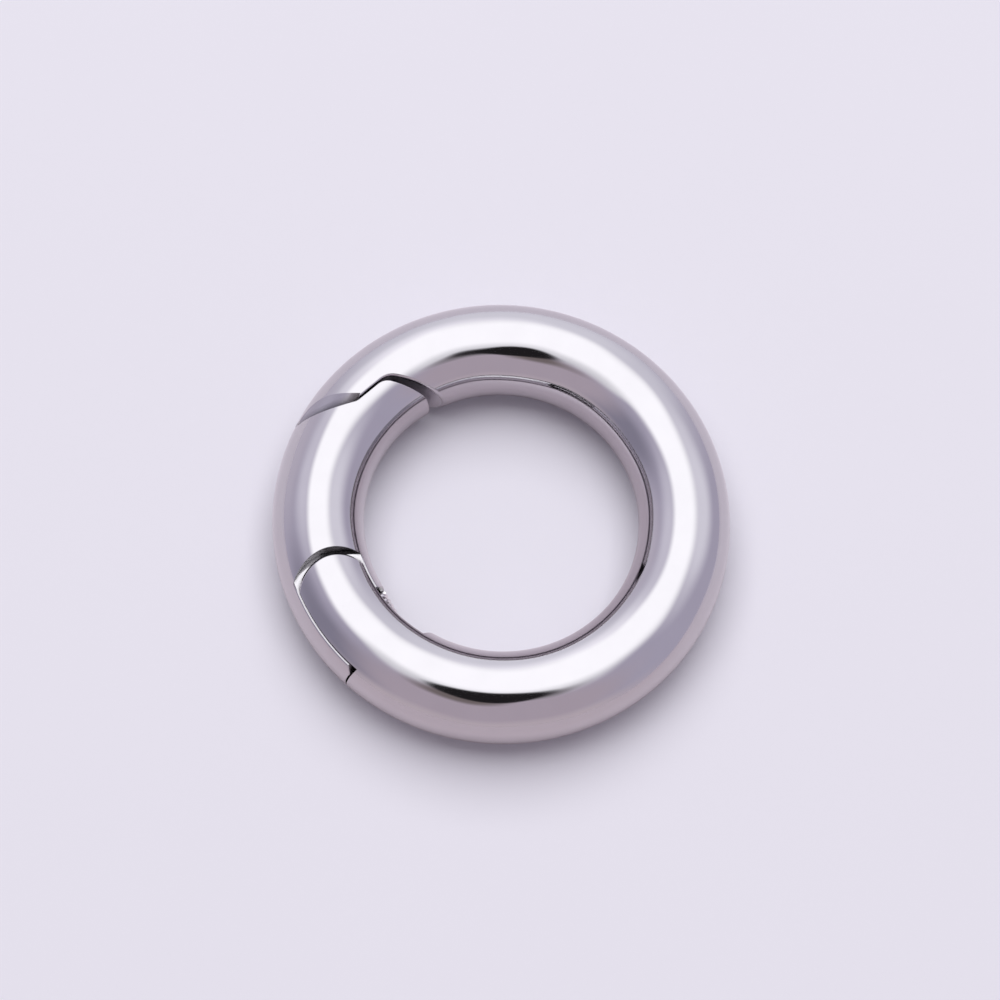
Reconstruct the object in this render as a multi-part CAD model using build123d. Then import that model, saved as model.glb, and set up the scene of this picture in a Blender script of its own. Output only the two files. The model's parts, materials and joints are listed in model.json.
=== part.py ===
from build123d import *
from math import acos, atan2, cos, degrees, hypot, radians, sin, sqrt
import os

# Spring gate ring: a ring of round wire with a gate that swings into the eye about a riveted
# pin, and a coil spring in the hinge slot that closes it again.
# Millimetres. The origin is the ring's centre, the ring lies in the XY plane and +Z is up.
# Bearings run counterclockwise round the ring from +X, seen from above.

# Ring
outside_diameter = 20.0
wire_diameter = 4.0

# Hinge, on the wire's centreline
hinge_bearing = 215.6
pin_diameter = 1.0
pin_running_clearance = 0.04      # all round the pin in the gate's bore
slot_width = 2.44                 # between the two cheeks
tongue_side_clearance = 0.03      # on each side of the tongue
shoulder_margin = 0.24            # the gate's hollow shoulder, about the pin, is this much over
                                  # the wire's radius
shoulder_gap = 0.3                # from the shoulder to the round ends of the cheeks
slot_reach = 3.05                 # from the pin's axis to the slot's end wall
tail_gap = 0.08                   # from the tongue's tail to that wall
tail_corner = 0.32                # taken off the tail at each face of the tongue

# Return spring, between the tongue's step and a blind pocket in the slot's end wall
spring_lever = 1.5                # from the pin's axis to the spring's axis
spring_diameter = 1.0             # outside the coil
spring_wire_diameter = 0.18
spring_wire_sides = 6             # the round wire is drawn with flats, to keep the coil light
spring_turns = 15
spring_side_clearance = 0.1       # round the coil in its pocket and over the tongue
spring_end_clearance = 0.01       # at the step and at the pocket's floor
step_reach = 0.2                  # from the pin's axis along the tongue to its step
pocket_depth = 1.0

# Nose: the gate's hook closes against a lip on the body. Its outer face and its ramp meet at the
# heel, on the wire's centreline, and the ramp runs up to the tip. Leans are measured from the
# wire's direction at the heel towards the ring's centre.
heel_bearing = 148.0
face_lean = 36.8
ramp_lean = 11.2
ramp_length = 1.55
heel_radius = 0.5
tip_corner_radius = 0.7
tip_inner_radius = 0.5            # where the tip turns into the gate's inner side
seat_gap = 0.04                   # between the hook and the lip, closed
tip_gap = 0.2                     # beyond the hook's tip, for the swing
eye_gap = 0.5                     # the same, where the gap opens into the eye

# Polished edges. The lip is also dressed down along its outer face, on each side of the ring, to
# a straight round that rises out of the wire into the body at a pitch.
hook_break = 0.05
lip_break = 0.12
hinge_break = 0.12
tongue_break = 0.04
dressing_margin = 0.07            # the dressed round's radius is this much under the wire's
dressing_depth = 0.35             # from the crown of the wire to the crown of that round
dressing_offset = 0.85            # where it is this deep, from the heel back along the outer face
dressing_pitch = 21.0
dressing_reach = 0.85             # square to the outer face

# Worked out from the sizes above
wire_radius = wire_diameter / 2
ring_radius = outside_diameter / 2 - wire_radius
eye_radius = ring_radius - wire_radius
reach_out = outside_diameter      # far enough to pass any face of the ring
shoulder_radius = wire_radius + shoulder_margin
cheek_end_radius = shoulder_radius - shoulder_gap
tail_reach = slot_reach - tail_gap
spring_step = spring_lever - spring_diameter / 2 - spring_side_clearance
spring_travel = slot_reach + pocket_depth - step_reach


def heading(bearing):
    """Unit vector at a bearing."""
    return Vector(cos(radians(bearing)), sin(radians(bearing)))


def crossing(point_a, direction_a, point_b, direction_b):
    """Where two straight lines in plan cross."""
    between = point_b - point_a
    along = between.cross(direction_b).Z / direction_a.cross(direction_b).Z
    return point_a + direction_a * along


def on_circle(point, direction, centre, radius):
    """Where a line in plan leaves a circle that it starts inside."""
    from_centre = point - centre
    middle = from_centre.dot(direction)
    return point + direction * (sqrt(middle**2 - from_centre.dot(from_centre) + radius**2) - middle)


pin_centre = heading(hinge_bearing) * ring_radius
hinge_plane = Plane(origin=pin_centre, x_dir=heading(hinge_bearing + 90), z_dir=(0, 0, 1))
heel = heading(heel_bearing) * ring_radius
face_direction = heading(heel_bearing - 90 - face_lean)
ramp_direction = heading(heel_bearing - 90 - ramp_lean)


def wire_ring(radius):
    """A full ring of round wire on the wire's centreline."""
    return Torus(ring_radius, radius)


def through(face):
    """A plan outline taken through the whole wire."""
    return extrude(face, amount=wire_diameter, both=True)


def nose_outline(gap, arc_gap, end_gap, arc_end, heel_fillet, corner_fillet, inner_fillet=0):
    """Plan of all that lies on the gate's side of the nose, from the hook to the hinge's radius.

    gap moves the outer face and the ramp towards the body. The tip's arc is moved by arc_gap at
    the ramp and by end_gap at its end, at the distance arc_end from the ring's centre.
    """
    face_start = heel + face_direction.rotate(Axis.Z, 90) * gap
    ramp_start = heel + ramp_direction.rotate(Axis.Z, 90) * gap
    corner_heel = crossing(face_start, face_direction, ramp_start, ramp_direction)
    tip = heel + ramp_direction * ramp_length
    tip_reach = (tip - pin_centre).length
    corner_tip = on_circle(corner_heel, ramp_direction, pin_centre, tip_reach + arc_gap)
    start = corner_heel - face_direction * reach_out

    end_reach = tip_reach + end_gap
    span = acos((ring_radius**2 + arc_end**2 - end_reach**2) / (2 * ring_radius * arc_end))
    inner_end = heading(hinge_bearing - degrees(span)) * arc_end
    spoke = inner_end - pin_centre
    swing = degrees(atan2(spoke.Y, spoke.X))
    first = corner_tip - pin_centre
    middle = (degrees(atan2(first.Y, first.X)) + swing) / 2
    middle_reach = tip_reach + (arc_gap + end_gap) / 2
    arc = ThreePointArc(corner_tip, pin_centre + heading(middle) * middle_reach, inner_end)
    exit_point = inner_end + heading(swing - 180) * wire_radius
    hinge_inside = heading(hinge_bearing) * (eye_radius - wire_radius / 2)
    hinge_outside = heading(hinge_bearing) * (outside_diameter / 2 + wire_radius)
    sides = Polyline(inner_end, exit_point, hinge_inside, hinge_outside, start, corner_heel, corner_tip)
    outline = make_face(arc + sides)
    rounds = ((corner_heel, heel_fillet), (corner_tip, corner_fillet), (inner_end, inner_fillet))
    for corner, radius in rounds:
        if radius:
            outline = fillet(outline.vertices().sort_by_distance(corner)[0], radius)
    return outline


def depth_in_wire(point):
    """How far a point lies under the wire's round surface."""
    return wire_radius - hypot(hypot(point.X, point.Y) - ring_radius, point.Z)


def rim_edges(solid):
    """Edges where cuts meet the wire's round, without the round's own seams in the XY plane."""
    def on_rim(edge):
        spots = [edge @ share for share in (0.2, 0.5, 0.8)]
        on_round = all(abs(depth_in_wire(spot)) < 0.005 for spot in spots)
        return on_round and not edge.is_closed and any(spot.Z for spot in spots)
    return solid.edges().filter_by(on_rim)


def on_cheek_end(edge):
    """Whether an edge follows the round end of the cheeks."""
    return all(abs(off_pin(edge @ share) - cheek_end_radius) < 0.005 for share in (0.2, 0.8))


def on_nose(edge):
    """Whether an edge lies nearer to the heel of the hook than to the pin."""
    return (edge @ 0.5 - heel).length < (edge @ 0.5 - pin_centre).length


def off_pin(point):
    """Distance from the pin's axis."""
    return hypot(point.X - pin_centre.X, point.Y - pin_centre.Y)


def lip_dressing(side):
    """What is dressed off the lip, on the upper face of the ring for side 1 and the lower for -1."""
    along = Plane(origin=heel, x_dir=face_direction, z_dir=(0, 0, 1))
    length = 2 * wire_diameter
    reach = 2 * (dressing_reach + seat_gap)
    area = along * Pos(ramp_length - heel_radius, -seat_gap, 0) * Box(
        length, reach, length, align=(Align.MAX, Align.CENTER, Align.MIN))
    radius = wire_radius - dressing_margin
    pitch = radians(dressing_pitch)
    rise = heading(heel_bearing - 90) * cos(pitch) + Vector(0, 0, sin(pitch))
    crown = heel - face_direction * dressing_offset + Vector(0, 0, wire_radius - dressing_depth)
    centre = crown - Vector(0, 0, radius / cos(pitch))
    dressed = Plane(origin=centre, z_dir=rise) * Cylinder(radius, 2 * length)
    upper = area - dressed
    return upper if side > 0 else mirror(upper, Plane.XY)


def hinge_slot():
    """The slot between the cheeks, open to the gate and on both sides of the wire.

    Its section is the same all along the wire, with its mouths flared where the cheeks' edges
    are polished back.
    """
    half_width = slot_width / 2
    edge_angle = atan2(half_width, sqrt(wire_radius**2 - half_width**2))
    inside = wire_radius * cos(edge_angle) - hinge_break
    beside = wire_radius * cos(edge_angle + hinge_break / wire_radius)
    above = wire_radius * sin(edge_angle + hinge_break / wire_radius)
    flare = (above - half_width) / (beside - inside)
    mouth = 2 * wire_radius
    top = half_width + flare * (mouth - inside)
    upper = [(mouth, top), (inside, half_width), (-inside, half_width), (-mouth, top)]
    lower = [(-across, -height) for across, height in upper]
    section = make_face(Polyline(*upper, *lower, close=True))
    ring_slot = revolve(Plane.XZ * Pos(ring_radius, 0) * section, Axis.Z)
    length = slot_reach + shoulder_radius
    plan = Box(length, 2 * wire_diameter, 4 * top, align=(Align.MAX, Align.CENTER, Align.CENTER))
    return ring_slot & hinge_plane * Pos(slot_reach, 0, 0) * plan


def spring_axis_plane(distance):
    """Plane square to the spring's axis, at a distance along it from the tongue's step."""
    origin = hinge_plane.from_local_coords(Vector(step_reach + distance, spring_lever, 0))
    return Plane(origin=origin, x_dir=(0, 0, 1), z_dir=hinge_plane.x_dir)


def spring_room(length, radius):
    """A round space about the spring's axis, from the tongue's step."""
    base = spring_axis_plane(0)
    return extrude(base * Circle(radius), amount=length)


def pin_space(radius):
    """A round space about the pin's axis, through the whole wire."""
    return Pos(pin_centre) * Cylinder(radius, 2 * wire_diameter)


def make_ring_body():
    """The body: all of the ring that the gate leaves, with the lip, the cheeks and the spring's pocket."""
    outline = nose_outline(seat_gap, tip_gap, eye_gap, eye_radius - wire_radius / 2,
                           heel_radius, tip_corner_radius + tip_gap / 2)
    opening = through(outline) - pin_space(cheek_end_radius)
    body = wire_ring(wire_radius) - opening - hinge_slot()
    body = chamfer(rim_edges(body).filter_by(on_cheek_end), hinge_break)
    body = chamfer(rim_edges(body).filter_by(on_nose), lip_break)
    body -= lip_dressing(1) + lip_dressing(-1)
    body -= pin_space(pin_diameter / 2)
    return body - spring_room(spring_travel, spring_diameter / 2 + spring_side_clearance)


def make_tongue():
    """The tongue that fills the hinge slot, stepped back on its eye side for the spring."""
    block = Box(tail_reach + shoulder_radius + wire_radius, 2 * wire_diameter,
                slot_width - 2 * tongue_side_clearance, align=(Align.MAX, Align.CENTER, Align.CENTER))
    tail = block.edges().filter_by(Axis.Y).group_by(Axis.X)[-1]
    block = Pos(tail_reach, 0, 0) * chamfer(tail, tail_corner)
    step = Box(slot_reach, wire_diameter, wire_diameter, align=(Align.MIN, Align.MIN, Align.CENTER))
    block -= Pos(step_reach, spring_step, 0) * step
    tongue = wire_ring(wire_radius) & hinge_plane * block
    return chamfer(rim_edges(tongue), tongue_break)


def make_gate():
    """The gate: the hooked arm with its tongue."""
    outline = nose_outline(0, 0, 0, eye_radius, heel_radius, tip_corner_radius, tip_inner_radius)
    arm = wire_ring(wire_radius) & through(outline) - pin_space(shoulder_radius)
    gate = chamfer(rim_edges(arm), hook_break) + make_tongue()
    return gate - pin_space(pin_diameter / 2 + pin_running_clearance)


def make_hinge_pin():
    """The riveted pin, ground off flush with the round of the wire."""
    return wire_ring(wire_radius) & pin_space(pin_diameter / 2)


def make_spring():
    """A coil spring with its ends cut square."""
    length = spring_travel - 2 * spring_end_clearance
    pitch = length / spring_turns
    mean = (spring_diameter - spring_wire_diameter) / 2
    centreline = Helix(pitch, length + 2 * pitch, mean)
    start = Plane(origin=centreline @ 0, z_dir=centreline % 0)
    section = RegularPolygon(spring_wire_diameter / 2, spring_wire_sides)
    coil = Pos(0, 0, -pitch) * sweep(start * section, centreline, is_frenet=True)
    coil &= Cylinder(spring_diameter, length, align=(Align.CENTER, Align.CENTER, Align.MIN))
    return spring_axis_plane(spring_end_clearance) * coil


os.makedirs("parts", exist_ok=True)
pieces = {
    "ring_body": make_ring_body,
    "gate": make_gate,
    "hinge_pin": make_hinge_pin,
    "gate_spring": make_spring,
}
for node, make in pieces.items():
    export_step(make(), f"parts/{node}.step")
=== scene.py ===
import json
import math

import bmesh
import bpy
import numpy as np
from mathutils import Matrix, Vector


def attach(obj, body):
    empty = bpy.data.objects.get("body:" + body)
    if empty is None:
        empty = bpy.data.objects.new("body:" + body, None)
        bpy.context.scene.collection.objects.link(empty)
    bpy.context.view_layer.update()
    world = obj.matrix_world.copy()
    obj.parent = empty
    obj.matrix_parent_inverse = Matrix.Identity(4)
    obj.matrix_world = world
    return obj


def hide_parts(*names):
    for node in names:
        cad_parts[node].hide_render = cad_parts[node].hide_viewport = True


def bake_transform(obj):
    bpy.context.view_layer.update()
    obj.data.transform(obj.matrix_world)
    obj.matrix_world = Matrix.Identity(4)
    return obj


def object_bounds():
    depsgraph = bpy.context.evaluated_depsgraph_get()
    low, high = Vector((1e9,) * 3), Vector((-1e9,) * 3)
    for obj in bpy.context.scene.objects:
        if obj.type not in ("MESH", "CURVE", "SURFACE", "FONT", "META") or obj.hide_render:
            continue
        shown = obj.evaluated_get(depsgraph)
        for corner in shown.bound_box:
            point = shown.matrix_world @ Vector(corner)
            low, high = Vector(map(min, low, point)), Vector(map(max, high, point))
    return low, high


# Spring gate ring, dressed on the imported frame: a plated ring of round wire with a gate that
# swings on a riveted pin, and a coil spring in the hinge slot. All sizes are in metres.

MM = 0.001

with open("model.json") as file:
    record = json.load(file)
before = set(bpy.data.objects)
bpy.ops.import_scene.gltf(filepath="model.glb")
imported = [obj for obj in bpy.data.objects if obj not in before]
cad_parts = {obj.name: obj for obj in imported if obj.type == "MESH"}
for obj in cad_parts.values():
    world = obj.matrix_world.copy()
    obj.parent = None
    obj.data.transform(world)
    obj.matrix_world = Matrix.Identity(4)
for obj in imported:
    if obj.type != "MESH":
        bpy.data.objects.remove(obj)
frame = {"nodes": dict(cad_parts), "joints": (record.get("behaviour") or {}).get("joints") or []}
cad_low, cad_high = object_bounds()

# Sizes read from the frame
wire_radius = (cad_high.z - cad_low.z) / 2
ring_radius = (cad_high.x - cad_low.x) / 2 - wire_radius
gate_hinge = frame["joints"][0]
pin_centre = Vector(gate_hinge["pos_m"])

# How the facets of the solids are told apart
weld_reach = 1e-4 * MM            # corners this close are one
on_surface = 0.0015 * MM          # a point this near the wire's round lies on it
facet_sag = 0.012 * MM            # how far a facet's middle may lie under the round it stands for
facet_tilt = 9.0                  # degrees between a facet and that round
same_surface = 15.0               # degrees between two facets of one surface
edge_break_depth = 0.16 * MM      # a surface that stays this near the round is an edge break
dressing_depth = 0.45 * MM        # any other that stays this near it is the lip's dressing
level_tilt = 1.0                  # degrees off level for the polished flats of slot and tongue
hinge_reach = 5 * MM              # cut walls further than this from the pin are the nose seam's
skin_cuts = 1                     # how often each facet is split

# Return spring: it stands between the tongue's step and the floor of its pocket
spring_lever = 1.5 * MM           # from the pin's axis to the spring's
spring_start = 0.21 * MM          # from the pin to the coil's foot, along the spring
spring_length = 3.83 * MM
spring_diameter = 1.0 * MM        # outside the coil
spring_wire = 0.18 * MM
spring_turns = 15
turn_points = 28                  # along each turn
wire_points = 12                  # round the wire


# ---------------------------------------------------------------- node helpers

def link(tree, source, target):
    """Joins two sockets of a node tree."""
    tree.links.new(source, target)


def put(tree, kind, inputs=None, **settings):
    """A node with its settings and inputs; an input's value may be a number or another socket."""
    node = tree.nodes.new(kind)
    for name, value in settings.items():
        setattr(node, name, value)
    for name, value in (inputs or {}).items():
        socket = node.inputs[name]
        if isinstance(value, bpy.types.NodeSocket):
            link(tree, value, socket)
        else:
            socket.default_value = value
    return node


def calculate(tree, operation, *values):
    """The result of a Math node."""
    return put(tree, "ShaderNodeMath", dict(enumerate(values)), operation=operation).outputs[0]


def combine(tree, operation, first, second=None, result=0, **inputs):
    """The result of a Vector Math node."""
    inputs = {0: first, **inputs}
    if second is not None:
        inputs[1] = second
    return put(tree, "ShaderNodeVectorMath", inputs, operation=operation).outputs[result]


def span(tree, value, low, high, start=0.0, end=1.0, soft=False):
    """Maps a value between low and high to one between start and end."""
    inputs = {"Value": value, "From Min": low, "From Max": high, "To Min": start, "To Max": end}
    kind = "SMOOTHSTEP" if soft else "LINEAR"
    return put(tree, "ShaderNodeMapRange", inputs, interpolation_type=kind).outputs[0]


def blend_tones(tree, share, first, second):
    """Mixes two tones; each is a colour or a socket."""
    mix = put(tree, "ShaderNodeMix", data_type="RGBA")
    for name, tone in (("A", first), ("B", second)):
        if isinstance(tone, bpy.types.NodeSocket):
            link(tree, tone, mix.inputs[name])
        else:
            mix.inputs[name].default_value = (*tone, 1)
    link(tree, share, mix.inputs["Factor"])
    return mix.outputs["Result"]


def add_sockets(tree, direction, sockets):
    """Named inputs or outputs of a node tree, with their starting values."""
    for name, kind, value in sockets:
        socket = tree.interface.new_socket(name=name, in_out=direction, socket_type=kind)
        if value is not None:
            socket.default_value = value


def new_object(name, data):
    """An object in the scene, at the origin."""
    piece = bpy.data.objects.new(name, data)
    bpy.context.scene.collection.objects.link(piece)
    return piece


# ---------------------------------------------------------------- finishes, with painted shade and light

dent_scale = 330.0                         # per metre, as the other scales
smudge_scale = 900.0
hairline_scale = (9000.0, 700.0, 9000.0)   # fine across, long along
hairline_turn = (0.3, 0.5, 0.8)            # which way they run
hairline_band = (0.66, 0.78)               # of their noise, from no scratch to a full one
hairline_depth = 0.03                      # as a share of the finish's relief
smudge_band = (0.35, 0.7)                  # of their noise, from low to high roughness
# Painted shade: every metal's tone darkens in its crevices, down to this share of its dull tone
crevice_shade_share = 0.15                        # share of a metal's dull tone left in its crevices


def make_marks_and_crevice_shade():
    """Wear of a polished metal: slow dents, smudges and hairlines; and painted shade that darkens its
    crevices.

    Open and Closed are the shares of free space beside a point, within Crevice Reach, at which
    the painted shade is gone and at which it is full.
    """
    tree = bpy.data.node_groups.new("handling marks and crevice shade", "ShaderNodeTree")
    add_sockets(tree, "INPUT", [
        ("Ripple", "NodeSocketFloat", 1.0),
        ("Hairlines", "NodeSocketFloat", 1.0),
        ("Low Roughness", "NodeSocketFloat", 0.05),
        ("High Roughness", "NodeSocketFloat", 0.1),
        ("Crevice Reach", "NodeSocketFloat", 0.15 * MM),
        ("Open", "NodeSocketFloat", 0.85),
        ("Closed", "NodeSocketFloat", 0.3),
    ])
    add_sockets(tree, "OUTPUT", [
        ("Roughness", "NodeSocketFloat", None),
        ("Height", "NodeSocketFloat", None),
        ("Smudge", "NodeSocketFloat", None),
        ("Crevice", "NodeSocketFloat", None),
    ])
    given = tree.nodes.new("NodeGroupInput").outputs
    out = tree.nodes.new("NodeGroupOutput").inputs
    place = put(tree, "ShaderNodeTexCoord").outputs["Object"]

    dent = put(tree, "ShaderNodeTexNoise", {"Vector": place, "Scale": dent_scale, "Detail": 0.0})
    brushing = put(tree, "ShaderNodeMapping",
                   {"Vector": place, "Rotation": hairline_turn, "Scale": hairline_scale})
    streak = put(tree, "ShaderNodeTexNoise", {"Vector": brushing.outputs[0], "Scale": 1.0, "Detail": 2.0})
    scratch = span(tree, streak.outputs["Fac"], *hairline_band)
    dented = calculate(tree, "MULTIPLY", dent.outputs["Fac"], given["Ripple"])
    scratched = calculate(tree, "MULTIPLY", scratch, given["Hairlines"])
    sunk = calculate(tree, "MULTIPLY", scratched, hairline_depth)
    link(tree, calculate(tree, "SUBTRACT", dented, sunk), out["Height"])

    smudge = put(tree, "ShaderNodeTexNoise", {"Vector": place, "Scale": smudge_scale, "Detail": 4.0})
    gloss = span(tree, smudge.outputs["Fac"], *smudge_band,
                 start=given["Low Roughness"], end=given["High Roughness"])
    link(tree, smudge.outputs["Fac"], out["Smudge"])
    link(tree, gloss, out["Roughness"])

    # Painted shade: ambient occlusion sets how far the crevices are darkened
    beside = put(tree, "ShaderNodeAmbientOcclusion", {"Distance": given["Crevice Reach"]}, samples=3)
    crevice_shade_mask = span(tree, beside.outputs["AO"], given["Closed"], given["Open"], start=1.0, end=0.0)
    link(tree, crevice_shade_mask, out["Crevice"])
    return tree


marks_and_crevice_shade = make_marks_and_crevice_shade()


def metal(name, bright, dull, marks, relief=0.002 * MM):
    """A metal whose colour runs between two tones with its smudges, with painted shade darkening its
    crevices.
    """
    material = bpy.data.materials.new(name)
    material.use_nodes = True
    tree = material.node_tree
    shader = tree.nodes["Principled BSDF"].inputs
    worn = put(tree, "ShaderNodeGroup", node_tree=marks_and_crevice_shade)
    for key, value in marks.items():
        worn.inputs[key].default_value = value
    tone = blend_tones(tree, worn.outputs["Smudge"], bright, dull)
    # Painted shade: in crevices the tone runs down to a dark share of the dull tone
    dark = [crevice_shade_share * part for part in dull]
    crevice_shaded_tone = blend_tones(tree, worn.outputs["Crevice"], tone, dark)
    bump = put(tree, "ShaderNodeBump", {"Height": worn.outputs["Height"], "Distance": relief})
    link(tree, crevice_shaded_tone, shader["Base Color"])
    link(tree, worn.outputs["Roughness"], shader["Roughness"])
    link(tree, bump.outputs[0], shader["Normal"])
    shader["Metallic"].default_value = 1.0
    return material


plated_wire = metal(
    "plated wire", (0.62, 0.605, 0.63), (0.58, 0.565, 0.59),
    {"Ripple": 48.0, "Hairlines": 0.3, "Low Roughness": 0.045, "High Roughness": 0.085})
# Cut faces: the same plated metal painted far darker than the wire, as painted shade in the slot, on the
# shoulders and in the gaps
shaded_cut_faces = metal(
    "shaded cut faces", (0.22, 0.205, 0.215), (0.15, 0.14, 0.15),
    {"Ripple": 1.0, "Hairlines": 1.0, "Low Roughness": 0.16, "High Roughness": 0.3}, 0.004 * MM)
# The dressed lip takes a wide band of painted shade along the seam beside it
dressed_lip = metal(
    "dressed lip", (0.56, 0.545, 0.575), (0.52, 0.505, 0.535),
    {"Ripple": 1.0, "Hairlines": 0.6, "Low Roughness": 0.15, "High Roughness": 0.22,
     "Crevice Reach": 0.4 * MM, "Open": 0.97, "Closed": 0.62})
# Seam walls: the same plating painted lighter than the wire, as painted light on the nose seam's deep
# walls; they also take painted shade where the seam closes
lightened_seam_walls = metal(
    "lightened seam walls", (0.82, 0.8, 0.83), (0.74, 0.72, 0.75),
    {"Ripple": 1.0, "Hairlines": 0.6, "Low Roughness": 0.28, "High Roughness": 0.36,
     "Open": 0.5, "Closed": 0.0})
# Spring steel painted far lighter than steel, as painted light on the coil deep in its slot, with painted
# shade close between its turns
lightened_spring_steel = metal(
    "lightened spring steel", (0.9, 0.89, 0.9), (0.82, 0.81, 0.82),
    {"Ripple": 0.5, "Hairlines": 0.5, "Low Roughness": 0.24, "High Roughness": 0.32,
     "Crevice Reach": 0.03 * MM, "Open": 0.5, "Closed": 0.0})


# ---------------------------------------------------------------- surfaces of the solids

def off_round(points):
    """Outward normals of the wire's round at some points, and how far they stand off it."""
    spread = np.hypot(points[:, 0], points[:, 1])
    line = points * (ring_radius / spread)[:, None]
    line[:, 2] = 0
    across = points - line
    distance = np.linalg.norm(across, axis=1)
    return across / distance[:, None], distance - wire_radius


def read(collection, name, width=3, kind=float):
    """One property of all the items of a mesh collection, a row for each."""
    values = np.zeros(len(collection) * width, kind)
    collection.foreach_get(name, values)
    return values.reshape(-1, width) if width > 1 else values


def cosine(angle):
    """The cosine of an angle in degrees."""
    return math.cos(math.radians(angle))


def weld(mesh):
    """Joins a copy's loose triangles along their edges."""
    work = bmesh.new()
    work.from_mesh(mesh)
    bmesh.ops.remove_doubles(work, verts=work.verts, dist=weld_reach)
    work.to_mesh(mesh)
    work.free()


def find_neighbours(mesh, normals, apart):
    """For each facet, those beside it that turn little from it; facets kept apart have none."""
    beside = {}
    for facet, edges in enumerate(read(mesh.loops, "edge_index", 1, np.int32).reshape(-1, 3)):
        for edge in edges:
            beside.setdefault(edge, []).append(facet)
    level = cosine(same_surface)
    neighbours = [[] for _ in normals]
    for pair in beside.values():
        if len(pair) == 2 and not apart[pair].any() and normals[pair[0]] @ normals[pair[1]] > level:
            neighbours[pair[0]].append(pair[1])
            neighbours[pair[1]].append(pair[0])
    return neighbours


def number_surfaces(surface, neighbours):
    """Gives each surface of the facets that are marked -1 a number, and returns the last one."""
    count = 0
    for seed in range(len(surface)):
        if surface[seed] != -1:
            continue
        count += 1
        surface[seed] = count
        reached = [seed]
        while reached:
            for facet in neighbours[reached.pop()]:
                if surface[facet] == -1:
                    surface[facet] = count
                    reached.append(facet)
    return count


def sort_surfaces(mesh):
    """Writes on each facet which surface it belongs to, 0 for the wire's round, and its finish."""
    normals = read(mesh.polygons, "normal")
    centres = read(mesh.polygons, "center")
    _, height = off_round(read(mesh.vertices, "co"))
    upright, sunk = off_round(centres)
    corner_height = height[read(mesh.loops, "vertex_index", 1, np.int32).reshape(-1, 3)]
    facing = np.sum(normals * upright, axis=1) > cosine(facet_tilt)
    round_facet = (np.abs(corner_height) < on_surface).all(axis=1) & facing & (sunk > -facet_sag)

    surface = np.where(round_facet, 0, -1)
    count = number_surfaces(surface, find_neighbours(mesh, normals, round_facet))
    deepest = np.zeros(count + 1)
    np.minimum.at(deepest, surface, np.minimum(corner_height.min(axis=1), sunk))

    edge_break = (deepest > -edge_break_depth)[surface]
    polished = edge_break | (np.abs(normals[:, 2]) > cosine(level_tilt))
    dressed = (deepest > -dressing_depth)[surface] & ~polished
    from_pin = np.hypot(centres[:, 0] - pin_centre.x, centres[:, 1] - pin_centre.y)
    seam_wall = (from_pin > hinge_reach) & ~polished & ~dressed

    mesh.attributes.new("surface", "INT", "FACE").data.foreach_set("value", surface.astype(np.int32))
    mesh.attributes.new("round", "FLOAT", "FACE").data.foreach_set("value", round_facet.astype(np.float32))
    for name, chosen in (("edge_break", edge_break), ("polished", polished),
                         ("dressed", dressed), ("seam_wall", seam_wall)):
        mesh.attributes.new(name, "BOOLEAN", "FACE").data.foreach_set("value", chosen)


def aim_corners(mesh):
    """Writes each corner's normal: its own surface's, rolled over the edge breaks from side to side."""
    points = read(mesh.vertices, "co")
    normals = read(mesh.polygons, "normal")
    areas = read(mesh.polygons, "area", 1)
    at = read(mesh.loops, "vertex_index", 1, np.int32)
    surface = read(mesh.attributes["surface"].data, "value", 1, np.int32)
    edge_break = read(mesh.attributes["edge_break"].data, "value", 1, bool)
    count = surface.max() + 1
    facet = np.repeat(np.arange(len(areas)), 3)

    # One normal for each surface that meets at a point
    keys, spot = np.unique(at.astype(np.int64) * count + surface[facet], return_inverse=True)
    total = np.zeros((len(keys), 3))
    np.add.at(total, spot, normals[facet] * areas[facet][:, None])
    owner = keys // count
    kind = keys % count
    upright, _ = off_round(points)
    total[kind == 0] = upright[owner[kind == 0]]
    total /= np.linalg.norm(total, axis=1)[:, None]

    # An edge break takes the normals of the surfaces on its two sides
    broken = np.zeros(count, bool)
    broken[surface[edge_break]] = True
    broken[0] = False
    lead = np.full(len(points), -1)
    firm = np.nonzero(~broken[kind])[0][::-1]
    lead[owner[firm]] = firm
    corner = total[spot]
    soft = broken[surface[facet]] & (lead[at] >= 0)
    corner[soft] = total[lead[at[soft]]]
    mesh.attributes.new("aim", "FLOAT_VECTOR", "CORNER").data.foreach_set("vector", corner.ravel())


def shade_true(mesh):
    """Gives each corner of the split skin its true normal."""
    at = read(mesh.loops, "vertex_index", 1, np.int32)
    sides = read(mesh.polygons, "loop_total", 1, np.int32)
    on_wire = np.repeat(read(mesh.attributes["surface"].data, "value", 1, np.int32) == 0, sides)
    corner = read(mesh.attributes["aim"].data, "vector")
    upright, _ = off_round(read(mesh.vertices, "co"))
    corner[on_wire] = upright[at[on_wire]]
    corner /= np.linalg.norm(corner, axis=1)[:, None]
    mesh.normals_split_custom_set(corner)


# ---------------------------------------------------------------- skins

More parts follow.
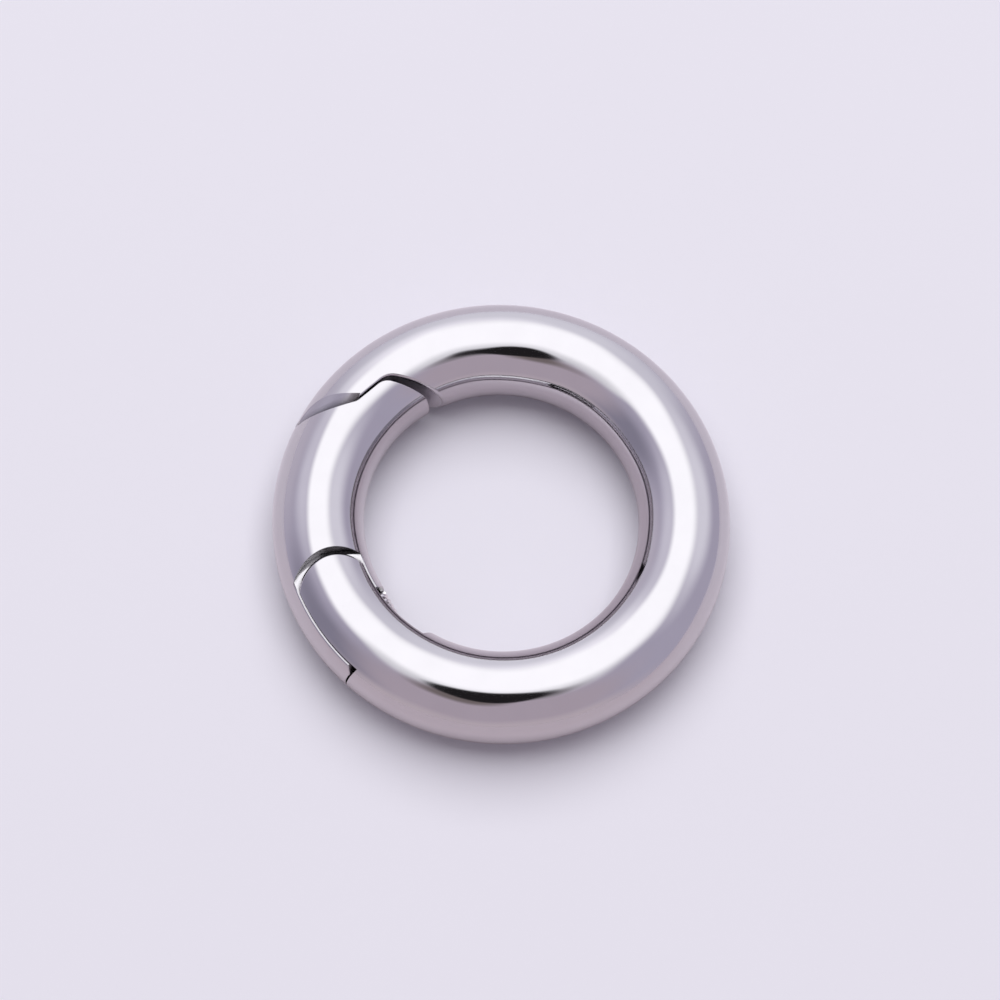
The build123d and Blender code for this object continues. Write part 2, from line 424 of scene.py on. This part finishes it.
def make_wire_skin():
    """Splits each facet, seats the new points on the wire's round and gives each face its finish."""
    tree = bpy.data.node_groups.new("wire skin", "GeometryNodeTree")
    add_sockets(tree, "INPUT", [
        ("Facets", "NodeSocketGeometry", None),
        ("Ring Radius", "NodeSocketFloat", 0.0),
        ("Wire Radius", "NodeSocketFloat", 0.0),
        ("Cuts", "NodeSocketInt", 1),
        ("Shaded Cut Finish", "NodeSocketMaterial", None),
        ("Polish", "NodeSocketMaterial", None),
        ("Lip Finish", "NodeSocketMaterial", None),
        ("Lightened Wall Finish", "NodeSocketMaterial", None),
    ])
    add_sockets(tree, "OUTPUT", [("Skin", "NodeSocketGeometry", None)])
    given = tree.nodes.new("NodeGroupInput").outputs
    out = tree.nodes.new("NodeGroupOutput").inputs
    split = put(tree, "GeometryNodeSubdivideMesh", {"Mesh": given["Facets"], "Level": given["Cuts"]})

    place = put(tree, "GeometryNodeInputPosition").outputs[0]
    in_plan = combine(tree, "MULTIPLY", place, (1, 1, 0))
    outward = combine(tree, "NORMALIZE", in_plan)
    line = combine(tree, "SCALE", outward, Scale=given["Ring Radius"])
    across = combine(tree, "SUBTRACT", place, line)
    spoke = combine(tree, "NORMALIZE", across)
    reach = combine(tree, "SCALE", spoke, Scale=given["Wire Radius"])
    true_place = combine(tree, "ADD", line, reach)
    share = put(tree, "GeometryNodeInputNamedAttribute", {"Name": "round"}, data_type="FLOAT").outputs[0]
    on_wire = put(tree, "FunctionNodeCompare", {0: share, 1: 0.0}, operation="GREATER_THAN").outputs[0]
    seated = put(tree, "GeometryNodeSetPosition",
                 {"Geometry": split.outputs[0], "Selection": on_wire, "Position": true_place})

    whole = put(tree, "GeometryNodeRealizeInstances", {"Geometry": seated.outputs[0]})
    skin = put(tree, "GeometryNodeSetMaterial",
               {"Geometry": whole.outputs[0], "Material": given["Shaded Cut Finish"]}).outputs[0]
    for name, finish in (("polished", "Polish"), ("dressed", "Lip Finish"), ("seam_wall", "Lightened Wall Finish")):
        chosen = put(tree, "GeometryNodeInputNamedAttribute", {"Name": name}, data_type="BOOLEAN")
        skin = put(tree, "GeometryNodeSetMaterial",
                   {"Geometry": skin, "Selection": chosen.outputs[0], "Material": given[finish]}).outputs[0]
    link(tree, skin, out[0])
    return tree


def grow(piece, tree, values):
    """Runs a geometry tree on a piece with its inputs set, and keeps the plain mesh."""
    modifier = piece.modifiers.new(tree.name, "NODES")
    modifier.node_group = tree
    for item in tree.interface.items_tree:
        if item.in_out == "INPUT" and item.name in values:
            modifier[item.identifier] = values[item.name]
    graph = bpy.context.evaluated_depsgraph_get()
    mesh = bpy.data.meshes.new_from_object(piece.evaluated_get(graph))
    piece.modifiers.clear()
    piece.data = mesh


wire_skin = make_wire_skin()


def dress(node, body, name):
    """A finely split copy of a ring piece's solid, with true normals, that stands for its node."""
    mesh = frame["nodes"][node].data.copy()
    weld(mesh)
    sort_surfaces(mesh)
    aim_corners(mesh)
    piece = new_object(name, mesh)
    grow(piece, wire_skin, {
        "Ring Radius": ring_radius, "Wire Radius": wire_radius, "Cuts": skin_cuts,
        "Shaded Cut Finish": shaded_cut_faces, "Polish": plated_wire,
        "Lip Finish": dressed_lip, "Lightened Wall Finish": lightened_seam_walls})
    piece.data.shade_smooth()
    shade_true(piece.data)
    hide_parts(node)
    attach(piece, body)


dress("ring_body", "ring", "ring_skin")
dress("gate", "gate", "gate_skin")
dress("hinge_pin", "ring", "pin_skin")


# ---------------------------------------------------------------- return spring

def make_coil():
    """A compression spring on the XY plane; its first and last turns lie closed on the next."""
    tree = bpy.data.node_groups.new("compression spring", "GeometryNodeTree")
    add_sockets(tree, "INPUT", [
        ("Turns", "NodeSocketFloat", 10.0),
        ("Mean Radius", "NodeSocketFloat", 0.0),
        ("Length", "NodeSocketFloat", 0.0),
        ("Wire Radius", "NodeSocketFloat", 0.0),
        ("Turn Points", "NodeSocketInt", 16),
        ("Wire Points", "NodeSocketInt", 8),
        ("Finish", "NodeSocketMaterial", None),
    ])
    add_sockets(tree, "OUTPUT", [("Spring", "NodeSocketGeometry", None)])
    given = tree.nodes.new("NodeGroupInput").outputs
    out = tree.nodes.new("NodeGroupOutput").inputs
    flat = put(tree, "GeometryNodeCurveSpiral", {
        "Resolution": given["Turn Points"], "Rotations": given["Turns"],
        "Start Radius": given["Mean Radius"], "End Radius": given["Mean Radius"], "Height": 0.0})

    along = put(tree, "GeometryNodeSplineParameter").outputs["Factor"]
    turn = calculate(tree, "DIVIDE", 1.0, given["Turns"])
    last = calculate(tree, "SUBTRACT", 1.0, turn)
    thick = calculate(tree, "MULTIPLY", given["Wire Radius"], 2.0)
    closed = calculate(tree, "MULTIPLY", thick, 3.0)
    free = calculate(tree, "SUBTRACT", given["Length"], closed)
    rise = given["Wire Radius"]
    for start, end, climb in ((0.0, turn, thick), (turn, last, free), (last, 1.0, thick)):
        rise = calculate(tree, "ADD", rise, span(tree, along, start, end, end=climb))
    lift = put(tree, "ShaderNodeCombineXYZ", {"Z": rise})
    helix = put(tree, "GeometryNodeSetPosition", {"Geometry": flat.outputs[0], "Offset": lift.outputs[0]})

    section = put(tree, "GeometryNodeCurvePrimitiveCircle",
                  {"Resolution": given["Wire Points"], "Radius": given["Wire Radius"]})
    tube = put(tree, "GeometryNodeCurveToMesh",
               {"Curve": helix.outputs[0], "Profile Curve": section.outputs[0], "Fill Caps": True})
    whole = put(tree, "GeometryNodeRealizeInstances", {"Geometry": tube.outputs[0]})
    finished = put(tree, "GeometryNodeSetMaterial",
                   {"Geometry": whole.outputs[0], "Material": given["Finish"]})
    link(tree, finished.outputs[0], out[0])
    return tree


def make_spring():
    """The return spring in its place, squeezed between the gate's tongue and the ring's pocket."""
    towards_centre = Vector((-pin_centre.x, -pin_centre.y, 0)).normalized()
    away = Vector((towards_centre.y, -towards_centre.x, 0))
    spring = new_object("gate_spring_coil", bpy.data.meshes.new("blank"))
    grow(spring, make_coil(), {
        "Turns": spring_turns, "Mean Radius": (spring_diameter - spring_wire) / 2,
        "Length": spring_length, "Wire Radius": spring_wire / 2,
        "Turn Points": turn_points, "Wire Points": wire_points, "Finish": lightened_spring_steel})
    foot = pin_centre + towards_centre * spring_lever + away * spring_start
    upright = Matrix((towards_centre, Vector((0, 0, 1)), away)).transposed().to_4x4()
    spring.data.transform(Matrix.Translation(foot) @ upright)
    spring.data.shade_smooth()
    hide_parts("gate_spring")
    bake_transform(spring)


make_spring()


# ---------------------------------------------------------------- floor

floor_reach = 2.0                 # from the middle to each side
floor_tone = (0.87, 0.853, 0.935)
floor_roughness = 0.9
floor_sheen = 0.1
grain_scale = 60.0
grain_tone = 0.985                # share of the floor's tone that is left in its grain

# What the polished metal sees of the floor, painted for it alone: in front of the ring, darker and pinker
# than behind it, behind it, and in the ring's own shade inside the eye, as painted shade. Further out the
# floor fades into the studio, so that no edge shows.
mirrored_front_tone = (0.77, 0.68, 0.74)
mirrored_back_tone = (0.84, 0.79, 0.87)
mirrored_shade_tone = (0.62, 0.55, 0.62)
front_to_back = (-14 * MM, 2 * MM)
eye_shade = (10 * MM, 4 * MM)     # from the middle, from no shade to full shade
shade_side = (-5 * MM, 2 * MM)    # the same, across the eye from the gate's hinge
floor_fade = (18 * MM, 60 * MM)   # from the middle, from full floor to none


def square(name, reach, height, order):
    """A level square about the origin; the order of its corners says which way it faces."""
    mesh = bpy.data.meshes.new(name)
    corners = [(x * reach, y * reach, height) for x, y in order]
    mesh.from_pydata(corners, [], [(0, 1, 2, 3)])
    return new_object(name, mesh)


def mirrored_tone(tree, place, spread):
    """The floor's tone as polished metal sees it, with painted shade inside the eye."""
    parts = put(tree, "ShaderNodeSeparateXYZ", {0: place}).outputs
    across = calculate(tree, "ADD", parts["X"], parts["Y"])
    shade = calculate(tree, "MULTIPLY", span(tree, spread, *eye_shade), span(tree, across, *shade_side))
    back = span(tree, parts["Y"], *front_to_back)
    around = blend_tones(tree, back, mirrored_front_tone, mirrored_back_tone)
    return blend_tones(tree, shade, around, mirrored_shade_tone)


def make_floor():
    """A wide pale floor under the ring."""
    floor = square("floor", floor_reach, cad_low.z, ((-1, -1), (1, -1), (1, 1), (-1, 1)))
    material = bpy.data.materials.new("pale card")
    material.use_nodes = True
    tree = material.node_tree
    shader = tree.nodes["Principled BSDF"]
    place = put(tree, "ShaderNodeTexCoord").outputs["Object"]
    spread = combine(tree, "LENGTH", combine(tree, "MULTIPLY", place, (1, 1, 0)), result="Value")
    grain = put(tree, "ShaderNodeTexNoise", {"Vector": place, "Scale": grain_scale, "Detail": 3.0})
    card = blend_tones(tree, grain.outputs["Fac"], floor_tone, [grain_tone * part for part in floor_tone])
    glossy = put(tree, "ShaderNodeLightPath").outputs["Is Glossy Ray"]
    seen = blend_tones(tree, glossy, card, mirrored_tone(tree, place, spread))
    link(tree, seen, shader.inputs["Base Color"])
    shader.inputs["Roughness"].default_value = floor_roughness
    shader.inputs["Specular IOR Level"].default_value = floor_sheen

    gone = calculate(tree, "MULTIPLY", glossy, span(tree, spread, *floor_fade, soft=True))
    clear = put(tree, "ShaderNodeBsdfTransparent").outputs[0]
    sweep = put(tree, "ShaderNodeMixShader", {0: gone, 1: shader.outputs[0], 2: clear})
    link(tree, sweep.outputs[0], tree.nodes["Material Output"].inputs["Surface"])
    floor.data.materials.append(material)


make_floor()


# ---------------------------------------------------------------- studio

backdrop_tone = (0.845, 0.83, 0.91)       # the studio behind the floor, as the camera sees it
walls_fill = (0.28, 0.262, 0.285)         # what the walls shed on matt surfaces
walls_tone = (0.55, 0.515, 0.64)          # the walls, as polished metal sees them

# Soft patches on the walls, each laid over those before it: angle off the zenith, bearing from
# +X, the angles from its middle at which it begins to fade and is gone, and its tone
wall_patches = (
    (70, 92, 12, 62, (0.98, 0.97, 1.06)),
    (50, 105, 8, 32, (1.35, 1.33, 1.42)),
    (46, 34, 6, 34, (1.0, 0.98, 1.08)),
    (46, 150, 4, 30, (0.86, 0.83, 0.95)),
    (88, 152, 4, 34, (0.68, 0.63, 0.74)),
    (72, 212, 14, 42, (0.33, 0.31, 0.40)),
    (60, 272, 32, 58, (0.58, 0.50, 0.575)),
)

# A haze low on the front wall, and the parts of a direction over which it comes in
haze_tone = (0.68, 0.59, 0.645)
haze_rise = (0.24, 0.02)                  # upwards
haze_front = (-0.4, -0.8)                 # along Y

# Two cards that hang above and behind, one in front of the other: for each edge the axis that it
# crosses and the angles off the vertical at which the card begins and is full, then its tone
hung_cards = (
    ((("X", -29, -18), ("X", 31, 14), ("Y", -27, -9), ("Y", 66, 44)), (1.06, 1.06, 1.1)),
    ((("X", -36, -21), ("X", 33, 11), ("Y", -12, 4), ("Y", 66, 46)), (1.6, 1.6, 1.63)),
)
least_rise = 0.02                         # the cards' edges take no direction as lower than this


def make_soft_lobe():
    """Mask of a round patch about one direction, soft towards its rim."""
    tree = bpy.data.node_groups.new("soft lobe", "ShaderNodeTree")
    add_sockets(tree, "INPUT", [
        ("Direction", "NodeSocketVector", None),
        ("Axis", "NodeSocketVector", None),
        ("Inner Angle", "NodeSocketFloat", 0.0),
        ("Outer Angle", "NodeSocketFloat", 0.0),
    ])
    add_sockets(tree, "OUTPUT", [("Mask", "NodeSocketFloat", None)])
    given = tree.nodes.new("NodeGroupInput").outputs
    out = tree.nodes.new("NodeGroupOutput").inputs
    along = combine(tree, "DOT_PRODUCT", given["Direction"], given["Axis"], result="Value")
    angle = calculate(tree, "ARCCOSINE", along)
    mask = span(tree, angle, given["Inner Angle"], given["Outer Angle"], start=1.0, end=0.0, soft=True)
    link(tree, mask, out[0])
    return tree


def sky_direction(zenith, bearing):
    """Unit vector from its angle off the zenith and its bearing from +X, in degrees."""
    z, b = math.radians(zenith), math.radians(bearing)
    return (math.sin(z) * math.cos(b), math.sin(z) * math.sin(b), math.cos(z))


def slope(angle):
    """How far off the vertical something lies at unit height, from its angle in degrees."""
    return math.tan(math.radians(angle))


def patch_layers(tree, look):
    """Mask and tone of each soft patch."""
    lobe = make_soft_lobe()
    for zenith, bearing, inner, outer, tone in wall_patches:
        node = put(tree, "ShaderNodeGroup", node_tree=lobe)
        link(tree, look, node.inputs["Direction"])
        node.inputs["Axis"].default_value = sky_direction(zenith, bearing)
        node.inputs["Inner Angle"].default_value = math.radians(inner)
        node.inputs["Outer Angle"].default_value = math.radians(outer)
        yield node.outputs[0], tone


def card_layers(tree, parts):
    """Mask and tone of each hung card."""
    height = calculate(tree, "MAXIMUM", parts["Z"], least_rise)
    lean = {axis: calculate(tree, "DIVIDE", parts[axis], height) for axis in "XY"}
    for edges, tone in hung_cards:
        mask = calculate(tree, "GREATER_THAN", parts["Z"], 0.0)
        for axis, nothing, full in edges:
            edge = span(tree, lean[axis], slope(nothing), slope(full), soft=True)
            mask = calculate(tree, "MULTIPLY", mask, edge)
        yield mask, tone


def make_studio():
    """Grey walls with soft patches and a haze, and the hung cards."""
    world = bpy.data.worlds.new("studio")
    world.use_nodes = True
    world.cycles.sampling_method = "NONE"
    bpy.context.scene.world = world
    tree = world.node_tree
    look = put(tree, "ShaderNodeTexCoord").outputs["Generated"]
    parts = put(tree, "ShaderNodeSeparateXYZ", {0: look}).outputs
    path = put(tree, "ShaderNodeLightPath").outputs
    low = span(tree, parts["Z"], *haze_rise)
    front = span(tree, parts["Y"], *haze_front)
    haze = calculate(tree, "MULTIPLY", low, front)
    layers = [
        *patch_layers(tree, look), (haze, haze_tone), *card_layers(tree, parts),
        (path["Is Diffuse Ray"], walls_fill), (path["Is Camera Ray"], backdrop_tone)]
    radiance = walls_tone
    for mask, tone in layers:
        radiance = blend_tones(tree, mask, radiance, tone)
    link(tree, radiance, tree.nodes["Background"].inputs["Color"])


make_studio()


# ---------------------------------------------------------------- camera stand and lamp

# The dark stand round the camera, on a level plane: for each part its middle, the distances from
# it at which the part begins to fade and is gone, all in heights of the plane, and its tone
stand_height = 0.17
stand_parts = (
    (-0.14, -0.60, 0.10, 0.34, (0.24, 0.20, 0.20)),
    (0.24, -0.38, 0.04, 0.22, (0.30, 0.275, 0.30)),
    (0.02, -0.375, 0.205, 0.28, (0.02, 0.018, 0.02)),
)


def make_camera_stand():
    """The dark stand round the camera: only the polished metal sees it."""
    stand = square("camera stand", stand_height, stand_height, ((-1, -1), (-1, 1), (1, 1), (1, -1)))
    material = bpy.data.materials.new("camera stand")
    material.use_nodes = True
    tree = material.node_tree
    tree.nodes.remove(tree.nodes["Principled BSDF"])
    place = put(tree, "ShaderNodeTexCoord").outputs["Object"]
    shader = put(tree, "ShaderNodeBsdfTransparent").outputs[0]
    for x, y, inner, outer, tone in stand_parts:
        away = combine(tree, "DISTANCE", place, Vector((x, y, 1)) * stand_height, result="Value")
        mask = span(tree, away, inner * stand_height, outer * stand_height, start=1.0, end=0.0, soft=True)
        dark = put(tree, "ShaderNodeEmission", {"Color": (*tone, 1)}).outputs[0]
        shader = put(tree, "ShaderNodeMixShader", {0: mask, 1: shader, 2: dark}).outputs[0]
    link(tree, shader, tree.nodes["Material Output"].inputs["Surface"])
    stand.data.materials.append(material)
    stand.visible_camera = False
    stand.visible_diffuse = False
    stand.visible_shadow = False


make_camera_stand()

# The hung cards' light on the floor comes from a lamp: its height, and where its sides lie, in
# degrees off the vertical
lamp_height = 1.0
lamp_radiance = 2.7
lamp_left = 31
lamp_right = 26
lamp_front = 6
lamp_back = 50


def make_key_lamp():
    """A wide soft lamp that lights the floor and casts the ring's shadow."""
    left, right, front, back = (
        lamp_height * slope(angle) for angle in (lamp_left, lamp_right, lamp_front, lamp_back))
    data = bpy.data.lights.new("soft card", "AREA")
    data.shape = "RECTANGLE"
    data.size = right + left
    data.size_y = back + front
    data.energy = math.pi * lamp_radiance * data.size * data.size_y
    lamp = new_object("soft card", data)
    lamp.location = ((right - left) / 2, (back - front) / 2, lamp_height)
    lamp.visible_glossy = False
    lamp.visible_camera = False


make_key_lamp()


# ---------------------------------------------------------------- camera

camera_distance = 0.2
camera_elevation = 71.34          # degrees above level
camera_roll = 5.62                # degrees
camera_aim = Vector((-0.157, 0.888, 0.3)) * MM
camera_lens = 164.83              # millimetres, as the sensor's width
camera_sensor = 36.0
camera_near = 0.01


def make_camera():
    """A long lens looking down on the ring from the front."""
    data = bpy.data.cameras.new("camera")
    data.sensor_width = camera_sensor
    data.lens = camera_lens
    data.clip_start = camera_near
    camera = new_object("camera", data)
    aim = Matrix.Translation(camera_aim)
    turn = Matrix.Rotation(math.radians(90 - camera_elevation), 4, "X")
    roll = Matrix.Rotation(math.radians(camera_roll), 4, "Z")
    camera.matrix_world = aim @ turn @ roll @ Matrix.Translation((0, 0, camera_distance))
    bpy.context.scene.camera = camera


make_camera()
bpy.context.scene.view_settings.view_transform = "Standard"
